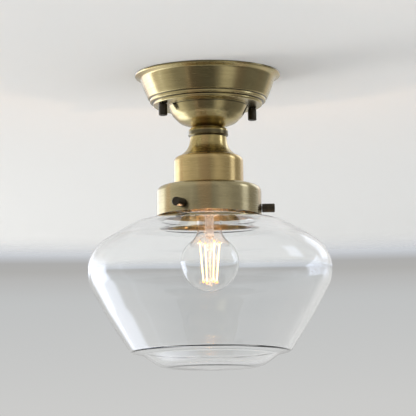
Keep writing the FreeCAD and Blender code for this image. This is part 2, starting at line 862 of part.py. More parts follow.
def stem_levels():
    """Heights of the stem: top of its flare, foot of its tube, foot of its rod."""
    top_z = lamp_levels()[1] + bulb_neck_in_cap
    tube_foot_z = filament_top_z + stem_knob_rise + stem_knob_length
    rod_foot_z = filament_foot_z - stem_button_length
    return top_z, tube_foot_z, rod_foot_z


def lamp_stem():
    """Glass stem: flare in the neck, tube, pinched knob, and the rod with its end button."""
    top_z, tube_foot_z, rod_foot_z = stem_levels()
    knob_z = tube_foot_z - stem_knob_length
    return turned([
        (0, top_z),
        (bulb_neck_r - bulb_wall - seat_gap, top_z),
        (stem_tube_r, top_z - stem_flare_height, stem_flare_round),
        (stem_tube_r, tube_foot_z, stem_tube_round),
        (stem_knob_r, tube_foot_z - stem_knob_length / 2, stem_knob_round),
        (stem_rod_r, knob_z, stem_rod_round_top),
        (stem_rod_r, rod_foot_z + stem_button_length, stem_rod_round_low),
        (stem_button_r, rod_foot_z + stem_button_length / 2, stem_button_round),
        (0, rod_foot_z),
    ])


def filament_ends(index):
    """Upper and lower end of one filament."""
    angle = filament_first + index * FULL_TURN / filament_count
    return (at(filament_top_pcr, filament_top_z, angle),
            at(filament_bottom_pcr, filament_foot_z, angle))


def lamp_filaments():
    """Four leaning filament sticks."""
    sticks = [rod(*filament_ends(index), filament_r) for index in range(filament_count)]
    return Part.makeCompound(sticks)


def filament_wires():
    """Wires from the stem's knob to each filament's top, and from its rod to each foot."""
    tube_foot_z, rod_foot_z = stem_levels()[1:]
    wires = []
    for index in range(filament_count):
        angle = filament_first + index * FULL_TURN / filament_count
        top, foot = filament_ends(index)
        along = (top - foot).normalize()
        knob = at(stem_knob_r + seat_gap + filament_wire_r, tube_foot_z - stem_knob_length / 2, angle)
        wires.append(rod(knob, top + along * 2 * filament_wire_r, filament_wire_r))
        button = at(stem_button_r + seat_gap + filament_wire_r,
                    rod_foot_z + stem_button_length / 2, angle)
        wires.append(rod(button, foot - along * 2 * filament_wire_r, filament_wire_r))
    return Part.makeCompound(wires)


# ---------------------------------------------------------------- shade
def glass_shade():
    """Closed glass shade: lipped neck, rounded shoulder, tapering side, ledge and shallow bowl."""
    throat_z = shade_neck_root_z - shade_throat_drop
    belly_z = throat_z - shade_belly_apex_drop
    side_z = belly_z - shade_side_drop
    corner_z = side_z - shade_corner_drop
    ledge_z = corner_z - shade_ledge_drop
    bowl_z = ledge_z - shade_bowl_drop
    shell = spun_shell([
        (shade_neck_r, shade_lip_top_z),
        (shade_neck_r, shade_neck_root_z, shade_neck_root_r),
        (shade_throat_r, throat_z, shade_throat_curve),
        (shade_belly_apex_r, belly_z, shade_belly_curve),
        (shade_side_r, side_z, shade_side_curve),
        (shade_corner_r, corner_z, shade_corner_curve),
        (shade_ledge_r, ledge_z, shade_ledge_curve),
        (shade_bowl_r, bowl_z, shade_bowl_curve),
        (0, bowl_z - shade_base_drop),
    ], glass_wall)
    lip = turned([
        (shade_neck_r - glass_wall / 2, shade_lip_top_z),
        (shade_lip_r, shade_lip_top_z, shade_lip_round),
        (shade_lip_r, shade_lip_bottom_z, shade_lip_round),
        (shade_neck_r - glass_wall / 2, shade_lip_bottom_z),
    ])
    return shell.fuse(lip)


# ---------------------------------------------------------------- nodes
def build():
    """Every node's name and shape."""
    block_body, block_screws = terminal_block()
    nodes = {
        "ceiling_strap": ceiling_strap(),
        "canopy": canopy(),
        "terminal_block": block_body,
        "terminal_block_screws": block_screws,
        "block_fixing_screws": block_fixings(),
        "live_lead": supply_lead(-1),
        "neutral_lead": supply_lead(1),
        "earth_lead": earth_lead(),
        "earth_tag": earth_tag(),
        "lock_washer": lock_washer(),
        "lock_nut": lock_nut(),
        "threaded_tube": threaded_tube(),
        "neck": neck(),
        "cup": cup(),
        "gallery": gallery(),
        "lampholder_cap": lampholder_cap(),
        "lampholder_insert": lampholder_insert(),
        "lampholder_terminals": holder_terminals(),
        "lampholder_contact": centre_contact(),
        "lampholder_screw_shell": screw_shell(),
        "lampholder_skirt": lampholder_skirt(),
        "shade_ring": shade_ring(),
        "lamp_contact": lamp_contact(),
        "lamp_insulator": lamp_insulator(),
        "lamp_cap": lamp_cap(),
        "lamp_envelope": lamp_envelope(),
        "lamp_stem": lamp_stem(),
        "lamp_filaments": lamp_filaments(),
        "lamp_filament_wires": filament_wires(),
        "glass_shade": glass_shade(),
    }
    for name, side in (("right", 1), ("left", -1)):
        head, shank = canopy_screw(side)
        nodes["canopy_screw_head_" + name] = head
        nodes["canopy_screw_shank_" + name] = shank
    for index, angle in enumerate(thumbscrew_angles(), start=1):
        head, shank = thumbscrew(angle)
        nodes["thumbscrew_head_%d" % index] = head
        nodes["thumbscrew_shank_%d" % index] = shank
    return nodes


os.makedirs("parts", exist_ok=True)
for node, shape in build().items():
    shape.exportStep("parts/%s.step" % node)
    box = shape.BoundBox
    print("%-26s solids %d valid %s volume %9.1f z %8.2f %8.2f"
          % (node, len(shape.Solids), shape.isValid(), shape.Volume, box.ZMin, box.ZMax))
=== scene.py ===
"""Dressed model of a semi flush ceiling light: aged brass, clear glass shade, filament lamp.

Metres, +Z up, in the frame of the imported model. Sizes inside the classes are in millimetres.
"""
import json
import logging
import math
from dataclasses import dataclass
from enum import Enum
from typing import Sequence

import bmesh
import bpy
from bmesh.types import BMesh, BMVert
from bpy.types import Material, Mesh, Object, World
from mathutils import Matrix, Vector

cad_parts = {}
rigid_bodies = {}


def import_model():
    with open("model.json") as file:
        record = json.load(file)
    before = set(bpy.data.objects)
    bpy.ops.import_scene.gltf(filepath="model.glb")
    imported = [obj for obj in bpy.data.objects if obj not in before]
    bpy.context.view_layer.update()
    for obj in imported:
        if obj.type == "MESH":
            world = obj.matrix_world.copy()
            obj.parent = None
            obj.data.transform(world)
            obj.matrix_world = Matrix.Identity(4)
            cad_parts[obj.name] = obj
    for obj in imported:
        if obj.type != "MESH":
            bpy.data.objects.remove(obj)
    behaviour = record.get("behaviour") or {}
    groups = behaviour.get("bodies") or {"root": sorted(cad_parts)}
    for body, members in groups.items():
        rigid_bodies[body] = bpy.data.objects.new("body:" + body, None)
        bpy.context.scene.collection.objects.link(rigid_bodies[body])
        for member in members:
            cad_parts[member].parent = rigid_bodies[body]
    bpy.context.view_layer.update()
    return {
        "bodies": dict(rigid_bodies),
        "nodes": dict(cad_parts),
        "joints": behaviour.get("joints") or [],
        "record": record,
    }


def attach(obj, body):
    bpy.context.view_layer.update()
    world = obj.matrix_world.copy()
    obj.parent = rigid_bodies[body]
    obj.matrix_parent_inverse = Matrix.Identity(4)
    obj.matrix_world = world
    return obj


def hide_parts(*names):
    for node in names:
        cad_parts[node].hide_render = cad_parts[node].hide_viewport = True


MM = 0.001
FULL_TURN = 2 * math.pi
MERGE = 1e-7
FILAMENT_TOP = -172.0
FILAMENT_FOOT = -216.0
log = logging.getLogger("ceiling_light")

Pair = tuple[float, float]
Triple = tuple[float, float, float]
Colour = Triple
Corner = tuple[float, ...]
Outline = tuple[Corner, ...]
Pairs = tuple[Pair, ...]


class Body(Enum):
    """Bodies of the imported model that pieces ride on."""

    FIXED = "root"
    SHADE = "shade"
    LAMP = "lamp"


class Slot(Enum):
    """Material slots of the record, which new pieces are passed with."""

    BRASS = "antique_brass"
    BRONZE = "dark_bronze"
    HOLDER = "lampholder_shell"
    NICKEL = "nickel_plate"
    LAMP_GLASS = "lamp_glass"
    SHADE_GLASS = "clear_glass"
    FILAMENT = "filament"


# ---------- shader maths
class Field:
    """A value that varies over a surface: an output socket that takes Python's operators."""

    def __init__(self, graph: "Graph", socket: bpy.types.NodeSocket) -> None:
        """Wraps an output socket of a graph."""
        self.graph = graph
        self.socket = socket

    def _math(self, operation: str, first: "Field | float", second: "Field | float") -> "Field":
        """Adds a Math node on two values."""
        return self.graph.node("ShaderNodeMath", {"operation": operation}, {0: first, 1: second})

    def __add__(self, other: "Field | float") -> "Field":
        """Sum."""
        return self._math("ADD", self, other)

    def __radd__(self, other: float) -> "Field":
        """Sum, reflected."""
        return self._math("ADD", other, self)

    def __sub__(self, other: "Field | float") -> "Field":
        """Difference."""
        return self._math("SUBTRACT", self, other)

    def __rsub__(self, other: float) -> "Field":
        """Difference, reflected."""
        return self._math("SUBTRACT", other, self)

    def __mul__(self, other: "Field | float") -> "Field":
        """Product."""
        return self._math("MULTIPLY", self, other)

    def __rmul__(self, other: float) -> "Field":
        """Product, reflected."""
        return self._math("MULTIPLY", other, self)

    def __truediv__(self, other: "Field | float") -> "Field":
        """Quotient."""
        return self._math("DIVIDE", self, other)

    def __rtruediv__(self, other: float) -> "Field":
        """Quotient, reflected."""
        return self._math("DIVIDE", other, self)

    def __neg__(self) -> "Field":
        """The same value with the other sign."""
        return 0.0 - self

    def __pow__(self, other: float) -> "Field":
        """Power."""
        return self._math("POWER", self, other)

    def __abs__(self) -> "Field":
        """Size without sign."""
        return self._math("ABSOLUTE", self, 0.0)

    def at_most(self, other: "Field | float") -> "Field":
        """The smaller of two values."""
        return self._math("MINIMUM", self, other)

    def at_least(self, other: "Field | float") -> "Field":
        """The larger of two values."""
        return self._math("MAXIMUM", self, other)

    def step(self, low: float, high: float) -> "Field":
        """Rises smoothly from 0 at low to 1 at high."""
        return self.graph.node("ShaderNodeMapRange", {"interpolation_type": "SMOOTHSTEP"},
                               {"Value": self, "From Min": low, "From Max": high})

    def out(self, name: str) -> "Field":
        """Another output of the same node."""
        return Field(self.graph, self.socket.node.outputs[name])


class Graph:
    """Node tree of one material or world."""

    def __init__(self, holder: Material | World) -> None:
        """Empties the holder's node tree."""
        self.holder = holder
        holder.use_nodes = True
        self.tree = holder.node_tree
        self.tree.nodes.clear()

    @classmethod
    def material(cls, name: str) -> "Graph":
        """Graph of a new material."""
        return cls(bpy.data.materials.new(name))

    def node(self, kind: str, settings: dict | None = None, inputs: dict | None = None,
             output: int | str | None = 0) -> Field | None:
        """Adds a node.

        Args:
            kind: The node's type.
            settings: Its properties, set before its sockets; "stops" fills a colour ramp.
            inputs: Values or fields by socket name or number.
            output: The output to return, if the node has one.

        Returns:
            The chosen output as a field.
        """
        made = self.tree.nodes.new(kind)
        for key, value in (settings or {}).items():
            if key == "stops":
                self._fill_ramp(made.color_ramp, value)
            else:
                setattr(made, key, value)
        for key, value in (inputs or {}).items():
            if isinstance(value, Field):
                self.tree.links.new(value.socket, made.inputs[key])
            else:
                made.inputs[key].default_value = value
        return None if output is None else Field(self, made.outputs[output])

    @staticmethod
    def _fill_ramp(ramp: bpy.types.ColorRamp, stops: Sequence[tuple[float, Colour]]) -> None:
        """Gives a colour ramp its stops."""
        while len(ramp.elements) < len(stops):
            ramp.elements.new(1.0)
        for element, (place, colour) in zip(ramp.elements, stops):
            element.position = place
            element.color = (*colour, 1.0)

    def place(self) -> tuple[Field, Field, Field]:
        """Object coordinates as three fields, in metres."""
        parts = self.node("ShaderNodeSeparateXYZ", {}, {0: self.coordinates()})
        return parts, parts.out("Y"), parts.out("Z")

    def coordinates(self) -> Field:
        """Object coordinates as a vector."""
        return self.node("ShaderNodeTexCoord", output="Object")

    def vector(self, x: Field | float, y: Field | float, z: Field | float) -> Field:
        """Vector of three values."""
        return self.node("ShaderNodeCombineXYZ", {}, {0: x, 1: y, 2: z})

    def noise(self, vector: Field, scale: float, detail: float, rough: float,
              depth: Field | None = None) -> Field:
        """Noise from 0 to 1, in four dimensions if a depth is given."""
        inputs: dict = {"Vector": vector, "Scale": scale, "Detail": detail, "Roughness": rough}
        if depth is not None:
            inputs["W"] = depth
        return self.node("ShaderNodeTexNoise",
                         {"noise_dimensions": "3D" if depth is None else "4D"}, inputs)

    def clouds(self, scale: float, detail: float, rough: float) -> Field:
        """Noise over the object's own coordinates."""
        return self.noise(self.coordinates(), scale, detail, rough)

    def mix(self, share: Field | float, first: Field | Colour, second: Field | Colour) -> Field:
        """Mixes two colours."""
        inputs = {0: share}
        for key, value in ((6, first), (7, second)):
            inputs[key] = value if isinstance(value, Field) else (*value, 1.0)
        return self.node("ShaderNodeMix", {"data_type": "RGBA"}, inputs, output=2)

    def bump(self, height: Field, strength: float, distance: float) -> Field:
        """Normal bent by a height."""
        return self.node("ShaderNodeBump", {}, {"Height": height, "Strength": strength,
                                                "Distance": distance})

    def principled(self, **inputs: object) -> Field:
        """Principled shader; underscores in names stand for spaces."""
        named = {key.replace("_", " "): value for key, value in inputs.items()}
        for key, value in named.items():
            if isinstance(value, tuple) and len(value) == 3:
                named[key] = (*value, 1.0)
        return self.node("ShaderNodeBsdfPrincipled", {}, named)

    def ramp(self, share: Field, stops: Sequence[tuple[float, Colour]]) -> Field:
        """Colour ramp over 0 to 1."""
        return self.node("ShaderNodeValToRGB", {"stops": stops}, {0: share})

    def finish(self, shader: Field,
               output: str = "ShaderNodeOutputMaterial") -> Material | World:
        """Links the surface and returns the holder."""
        self.node(output, {}, {"Surface": shader}, output=None)
        return self.holder


class Finish:
    """A finish that makes its material once."""

    made: dict[str, Material] = {}

    def material(self) -> Material:
        """The finish's material, made on first use."""
        key = repr(self)
        if key not in Finish.made:
            Finish.made[key] = self.shade()
        return Finish.made[key]

    def shade(self) -> Material:
        """Builds the material."""
        raise NotImplementedError


@dataclass(frozen=True)
class TurnedBrass(Finish):
    """Aged brass, brushed round the light's axis, with patina and painted shade darkening its
    grooves.

    Its lines are (wander round the axis, density, detail, roughness) of a noise.
    """

    name: str
    light: Colour = (0.52, 0.43, 0.215)
    dark: Colour = (0.33, 0.265, 0.12)
    # Dark colour of the groove bands: patina, and painted shade in creases and under beads.
    patina_and_shade: Colour = (0.085, 0.072, 0.042)
    copper: Colour = (0.52, 0.335, 0.15)
    roughness: float = 0.225
    anisotropy: float = 0.85
    patina_and_shade_lines: Pairs = ()
    patina_share: float = 0.75
    patina_edge: Pair = (0.34, 0.68)
    spot_share: float = 0.22
    spot_edge: Pair = (0.66, 0.78)
    copper_share: float = 0.55
    copper_edge: Pair = (0.46, 0.66)
    patina_and_shade_share: float = 0.85
    coarse_lines: tuple[float, float, float, float] = (1.4, 650.0, 2.0, 0.6)
    fine_lines: tuple[float, float, float, float] = (4.0, 2600.0, 1.0, 0.5)
    tone_wander: float = 2.2
    tone_rise: float = 5.0
    cloud_scale: float = 22.0
    spot_scale: float = 420.0
    relief: Pair = (0.06, 0.00005)

    def shade(self) -> Material:
        """Builds the material."""
        graph = Graph.material(self.name)
        x, y, z = graph.place()
        radius = (x * x + y * y + 1e-8) ** 0.5
        round_x, round_y = x / radius, y / radius
        coarse, fine = (
            graph.noise(graph.vector(round_x * wander, round_y * wander, radius * density), 1.0,
                        detail, rough, z * density)
            for wander, density, detail, rough in (self.coarse_lines, self.fine_lines))
        cloud = graph.clouds(self.cloud_scale, 3.0, 0.55)
        spots = graph.clouds(self.spot_scale, 2.0, 0.6).step(*self.spot_edge)
        lines = coarse * 0.6 + fine * 0.4
        patina = (cloud * 0.5 + lines * 0.5).step(*self.patina_edge) * self.patina_share
        patina = (patina + spots * self.spot_share).at_most(1.0)
        tone = graph.noise(graph.vector(round_x * self.tone_wander, round_y * self.tone_wander,
                                        z * self.tone_rise), 1.0, 1.0, 0.5)
        colour = graph.mix(patina, self.light, self.dark)
        colour = graph.mix(tone.step(*self.copper_edge) * self.copper_share, colour, self.copper)
        # Darkens bands of height: patina in grooves, and painted shade and shadow where parts meet
        # or overhang.
        for height, width in self.patina_and_shade_lines:
            patina_and_shade_mask = 1.0 - abs(z - height * MM).step(0.25 * width * MM, width * MM)
            colour = graph.mix(patina_and_shade_mask * self.patina_and_shade_share, colour, self.patina_and_shade)
        rough = self.roughness + patina * 0.06 + (fine - 0.5) * 0.08
        return graph.finish(graph.principled(
            Base_Color=colour, Metallic=1.0, Roughness=rough,
            Normal=graph.bump(lines, *self.relief), Anisotropic=self.anisotropy,
            Anisotropic_Rotation=0.25))


@dataclass(frozen=True)
class Clouded(Finish):
    """Metal with clouds of a second colour and a fine grain.

    Noises are (scale, detail, roughness), relief is (strength, depth in metres), and roughness is
    what the surface has where both noises are nought.
    """

    name: str
    base: Colour
    cloud: Colour
    roughness: float
    coat: float = 0.0
    metallic: float = 1.0
    cloud_share: float = 0.7
    cloud_noise: Triple = (75.0, 4.0, 0.6)
    cloud_edge: Pair = (0.45, 0.72)
    cloud_roughness: float = 0.25
    grain_noise: Triple = (900.0, 2.0, 0.5)
    grain_roughness: float = 0.0
    relief: Pair = (0.08, 0.00005)

    def shade(self) -> Material:
        """Builds the material."""
        graph = Graph.material(self.name)
        cloud, grain = graph.clouds(*self.cloud_noise), graph.clouds(*self.grain_noise)
        colour = graph.mix(cloud.step(*self.cloud_edge) * self.cloud_share, self.base, self.cloud)
        rough = self.roughness + cloud * self.cloud_roughness + grain * self.grain_roughness
        return graph.finish(graph.principled(
            Base_Color=colour, Metallic=self.metallic, Roughness=rough, Coat_Weight=self.coat,
            Normal=graph.bump(grain, *self.relief)))


@dataclass(frozen=True)
class Moulded(Clouded):
    """Moulded plastic, glazed ceramic or pressed black glass."""

    metallic: float = 0.0
    cloud_share: float = 0.6
    cloud_noise: Triple = (130.0, 4.0, 0.6)
    cloud_edge: Pair = (0.35, 0.7)
    cloud_roughness: float = 0.0
    grain_noise: Triple = (1500.0, 2.0, 0.6)
    grain_roughness: float = 0.12
    relief: Pair = (0.15, 0.00004)


@dataclass(frozen=True)
class EarthSleeve(Finish):
    """Earth lead's sleeve: green with a yellow stripe that winds along it."""

    name: str = "Earth sleeve"
    green: Colour = (0.045, 0.23, 0.05)
    yellow: Colour = (0.78, 0.62, 0.04)
    stripes: float = 85.0
    stripe_edge: Pair = (0.45, 0.55)
    slant: float = 0.25
    roughness: float = 0.42

    def shade(self) -> Material:
        """Builds the material."""
        graph = Graph.material(self.name)
        x, y, z = graph.place()
        wave = graph.node("ShaderNodeTexWave", {"wave_type": "BANDS", "bands_direction": "X"},
                          {"Vector": graph.vector(y + z * self.slant, x, z),
                           "Scale": self.stripes})
        colour = graph.mix(wave.step(*self.stripe_edge), self.green, self.yellow)
        return graph.finish(graph.principled(Base_Color=colour, Roughness=self.roughness))


@dataclass(frozen=True)
class ClearGlass(Finish):
    """Clear glass, slightly wavy as blown glass is; lamps shine through it."""

    name: str
    tint: Colour = (0.978, 0.984, 0.988)
    index: float = 1.48
    wave_scale: float = 16.0
    wave_depth: float = 0.00008

    def shade(self) -> Material:
        """Builds the material."""
        graph = Graph.material(self.name)
        waves = graph.clouds(self.wave_scale, 1.0, 0.4)
        glass = graph.principled(
            Base_Color=self.tint, Roughness=0.0, IOR=self.index, Transmission_Weight=1.0,
            Normal=graph.bump(waves, 1.0, self.wave_depth))
        clear = graph.node("ShaderNodeBsdfTransparent", {}, {"Color": (*self.tint, 1.0)})
        shadow = graph.node("ShaderNodeLightPath", output="Is Shadow Ray")
        return graph.finish(graph.node("ShaderNodeMixShader", {}, {0: shadow, 1: glass, 2: clear}))


@dataclass(frozen=True)
class MilkyGlass(Finish):
    """Stem glass, softly clouded, so that the filaments light it, with a faint painted glow of
    their light.
    """

    name: str = "Stem glass"
    base: Colour = (0.97, 0.94, 0.92)
    # Painted glow: the stem emits a little warm light of its own.
    painted_glow: Colour = (1.0, 0.74, 0.60)
    painted_glow_level: float = 0.1
    index: float = 1.5
    clearness: float = 0.92
    roughness: float = 0.1
    cloud_roughness: float = 0.3
    cloud_scale: float = 320.0
    relief: Pair = (0.2, 0.0002)

    def shade(self) -> Material:
        """Builds the material."""
        graph = Graph.material(self.name)
        cloud = graph.clouds(self.cloud_scale, 3.0, 0.5)
        return graph.finish(graph.principled(
            Base_Color=self.base, Roughness=self.roughness + cloud * self.cloud_roughness,
            IOR=self.index, Transmission_Weight=self.clearness, Emission_Color=self.painted_glow,
            Emission_Strength=self.painted_glow_level, Normal=graph.bump(cloud, *self.relief)))


@dataclass(frozen=True)
class Glow(Finish):
    """Phosphor coat of a filament stick, white hot in the middle and orange at both ends."""

    name: str = "Filament phosphor"
    hot: Colour = (1.0, 0.66, 0.34)
    end: Colour = (1.0, 0.36, 0.05)
    hot_coat: Colour = (0.95, 0.75, 0.35)
    end_coat: Colour = (0.9, 0.45, 0.1)
    end_length: Pair = (0.8, 4.2)
    ragged: float = 0.8
    strength: float = 3.0
    roughness: float = 0.4
    grain_scale: float = 900.0

    def shade(self) -> Material:
        """Builds the material."""
        graph = Graph.material(self.name)
        height = graph.place()[2]
        from_ends = (FILAMENT_TOP * MM - height).at_most(height - FILAMENT_FOOT * MM)
        grain = graph.clouds(self.grain_scale, 2.0, 0.5)
        start, full = self.end_length
        hot = (from_ends + grain * (self.ragged * MM)).step(start * MM, full * MM)
        return graph.finish(graph.principled(
            Base_Color=graph.mix(hot, self.end_coat, self.hot_coat), Roughness=self.roughness,
            Emission_Color=graph.mix(hot, self.end, self.hot), Emission_Strength=self.strength))


BRONZE = Clouded("Dark bronze", (0.052, 0.043, 0.030), (0.15, 0.115, 0.072), 0.33,
                 metallic=0.85, cloud_share=0.6, cloud_noise=(240.0, 4.0, 0.65),
                 cloud_edge=(0.52, 0.78), cloud_roughness=0.18, grain_noise=(1800.0, 2.0, 0.5),
                 relief=(0.12, 0.00005))
STEEL = Clouded("Zinc plated steel", (0.62, 0.62, 0.60), (0.42, 0.43, 0.40), 0.22)
PLAIN_BRASS = Clouded("Machined brass", (0.72, 0.57, 0.28), (0.50, 0.36, 0.15), 0.14)
NICKEL = Clouded("Nickel plate", (0.78, 0.77, 0.74), (0.55, 0.53, 0.48), 0.1)
HOLDER = TurnedBrass("Lampholder brass", (0.62, 0.52, 0.42), (0.42, 0.34, 0.27), roughness=0.26,
                     anisotropy=0.6)
PLASTIC = Moulded("Terminal plastic", (0.82, 0.81, 0.76), (0.70, 0.68, 0.61), 0.39)
CERAMIC = Moulded("Glazed ceramic", (0.86, 0.85, 0.80), (0.74, 0.72, 0.66), 0.16, 0.6)
BLACK_GLASS = Moulded("Black glass", (0.015, 0.015, 0.018), (0.04, 0.035, 0.03), 0.06, 0.5)
LIVE = Moulded("Brown sleeve", (0.16, 0.07, 0.03), (0.10, 0.04, 0.02), 0.34)
NEUTRAL = Moulded("Blue sleeve", (0.03, 0.13, 0.45), (0.02, 0.08, 0.30), 0.34)
SHADE_GLASS = ClearGlass("Shade glass")
LAMP_GLASS = ClearGlass("Lamp glass", (0.99, 0.99, 0.985), 1.5, 40.0, 0.00002)
GLOW = Glow()


# ---------- lathe
def full_turn(work: BMesh, steps: int) -> None:
    """Spins all that is drawn a full turn about +Z and merges its seam and poles."""
    bmesh.ops.spin(work, geom=work.verts[:] + work.edges[:], cent=(0, 0, 0), axis=(0, 0, 1),
                   dvec=(0, 0, 0), angle=FULL_TURN, steps=steps, use_merge=True,
                   use_duplicate=False)
    bmesh.ops.remove_doubles(work, verts=work.verts[:], dist=MERGE)


def sweep(work: BMesh, tip: BMVert, centre: Vector, axis: Vector | Triple, angle: float,
          steps: int) -> BMVert:
    """Draws an arc by spinning an outline's tip.

    Args:
        work: What the outline is drawn in.
        tip: The outline's last vertex.
        centre: The arc's centre in metres.
        axis: What the tip spins about.
        angle: The arc's angle in radians.
        steps: How many edges the arc gets.

    Returns:
        The outline's new tip.
    """
    swept = bmesh.ops.spin(work, geom=[tip], cent=centre, axis=axis, dvec=(0, 0, 0), angle=angle,
                           steps=steps, use_merge=False, use_duplicate=False)
    return next(v for v in swept["geom_last"] if isinstance(v, BMVert))


def written(work: BMesh, name: str, sharp: float) -> Mesh:
    """Writes a bmesh, which is freed, to a new mesh that is smooth up to an angle in degrees."""
    made = bpy.data.meshes.new(name)
    work.to_mesh(made)
    work.free()
    made.shade_smooth()
    made.set_sharp_from_angle(angle=math.radians(sharp))
    return made


@dataclass(frozen=True)
class Lathe:
    """Turns an outline of (radius, height[, rounding]) corners, in millimetres, about +Z."""

    corners: Outline = ()
    wall: float = 0.0
    closed: bool = False
    segments: int = 160
    arc_step: float = 5.0
    line_step: float = 2.5
    sharp: float = 24.0

    def mesh(self, name: str, place: Matrix | None = None, drawn: BMesh | None = None) -> Mesh:
        """Draws the outline, turns it and gives it its wall.

        Args:
            name: The mesh's name.
            place: Where the lathe's frame stands in the light's frame, if not at its origin.
            drawn: An outline that is drawn already and takes the place of the corners.

        Returns:
            A closed mesh with outward normals, in metres.
        """
        work = self.draw() if drawn is None else drawn
        full_turn(work, self.segments)
        bmesh.ops.recalc_face_normals(work, faces=work.faces[:])
        if self.wall:
            bmesh.ops.solidify(work, geom=work.faces[:], thickness=self.wall * MM)
        if place is not None:
            bmesh.ops.transform(work, matrix=place, verts=work.verts[:])
        return written(work, name, self.sharp)

    def draw(self) -> BMesh:
        """Draws the outline: runs by extruding its tip, roundings by sweeping it."""
        work = bmesh.new()
        points = [Vector((corner[0], 0, corner[1])) * MM for corner in self.corners]
        count = len(points)
        start = tip = work.verts.new(points[0])
        for index in range(1, count):
            corner = self.corners[index]
            rounding = corner[2] * MM if len(corner) > 2 else 0.0
            if rounding:
                around = [points[index - 1], points[index], points[(index + 1) % count]]
                tip = self.rounded(work, tip, around, rounding)
            elif corner[0] or self.corners[index - 1][0]:
                tip = self.run(work, tip, points[index])
            else:
                tip = work.verts.new(points[index])
        if self.closed:
            tip = self.run(work, tip, points[0])
            bmesh.ops.remove_doubles(work, verts=[start, tip], dist=MERGE)
        return work

    def run(self, work: BMesh, tip: BMVert, end: Vector) -> BMVert:
        """Extrudes the outline's tip to a point in short runs, so that normals stay true.

        Args:
            work: What the outline is drawn in.
            tip: Its last vertex.
            end: The point, in metres.

        Returns:
            Its new tip.
        """
        begin = tip.co.copy()
        count = max(1, math.ceil((end - begin).length / (self.line_step * MM)))
        for part in range(1, count + 1):
            tip = bmesh.ops.extrude_vert_indiv(work, verts=[tip])["verts"][0]
            tip.co = begin.lerp(end, part / count)
        return tip

    def rounded(self, work: BMesh, tip: BMVert, around: list[Vector], rounding: float) -> BMVert:
        """Runs up to a corner and rounds it with a tangent arc.

        Args:
            work: What the outline is drawn in.
            tip: Its last vertex.
            around: The corner before, the corner itself and the one after, in metres.
            rounding: The arc's radius in metres.

        Returns:
            Its new tip, where the arc ends.
        """
        before, corner, after = around
        back, ahead = (before - corner).normalized(), (after - corner).normalized()
        half = back.angle(ahead) / 2
        arc_start = corner + back * (rounding / math.tan(half))
        arc_end = corner + ahead * (rounding / math.tan(half))
        centre = corner + (back + ahead).normalized() * (rounding / math.sin(half))
        tip = self.run(work, tip, arc_start)
        turn = math.pi - 2 * half
        steps = max(2, math.ceil(math.degrees(turn) / self.arc_step))
        axis = (arc_start - centre).cross(arc_end - centre).normalized()
        return sweep(work, tip, centre, axis, turn, steps)


def stand(name: str, data: bpy.types.ID, place: Matrix | None = None) -> Object:
    """Stands an object of its data in the scene, at the light's origin unless a place is given."""
    made = bpy.data.objects.new(name, data)
    if place is not None:
        made.matrix_world = place
    bpy.context.scene.collection.objects.link(made)
    return made


def put(name: str, mesh: Mesh, finish: Finish, body: str, slot: Slot, *nodes: str) -> None:
    """Makes a piece of a mesh, on its body and in place of its CAD nodes.

    Args:
        name: The piece's name.
        mesh: Its mesh, in the light's frame.
        finish: Its finish.
        body: The CAD body that it rides on.
        slot: The record's slot that its finish is in; not used.
        *nodes: The CAD nodes that it stands for.
    """
    piece = stand(name, mesh)
    mesh.materials.append(finish.material())
    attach(piece, body)
    if nodes:
        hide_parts(*nodes)
    log.info("%s: %d faces on %s", name, len(mesh.polygons), body)


def dress(frame: dict, finish: Finish, *names: str) -> None:
    """Gives CAD nodes a finish.

    Args:
        finish: The finish.
        *names: The nodes.
    """
    for name in names:
        node = frame["nodes"][name]
        if not node.material_slots:
            node.data.materials.append(None)
        for slot in node.material_slots:
            slot.material = finish.material()
        log.info("%s: %s", name, finish.name)


# ---------- fitting
@dataclass
class Canopy:
    """Pressed canopy with rolled rim, flared side, two beads, annulus and dome."""

    wall: float = 1.2
    rim: Outline = ((75.0, 0.0), (75.0, -2.0, 1.2))
    side: Outline = ((69.6, -4.6, 3.0), (66.3, -14.0, 24.0), (61.6, -25.2, 1.2))
    beads: Outline = ((59.8, -26.0, 0.3), (59.8, -29.0, 1.2), (56.3, -29.8, 0.3))
    annulus: Outline = ((56.3, -32.8, 1.56), (41.2, -32.8, 0.48))
    dome: Outline = ((36.9, -42.3, 15.6), (29.4, -50.2, 14.4), (15.4, -55.4, 3.6), (5.1, -55.4))
    # Band at the rim's top: painted shadow line against the ceiling; the others: patina and
    # painted shade in creases.
    patina_and_shade_lines: Pairs = ((-0.1, 1.7), (-26.1, 0.8), (-29.8, 0.7), (-33.6, 0.7))

    def build(self) -> None:
        """Makes the canopy."""
        outline = self.rim + self.side + self.beads + self.annulus + self.dome
        put("canopy_shell", Lathe(outline, self.wall, segments=192).mesh("canopy"),
            TurnedBrass("Canopy brass", patina_and_shade_lines=self.patina_and_shade_lines), Body.FIXED.value, Slot.BRASS,
            "canopy")


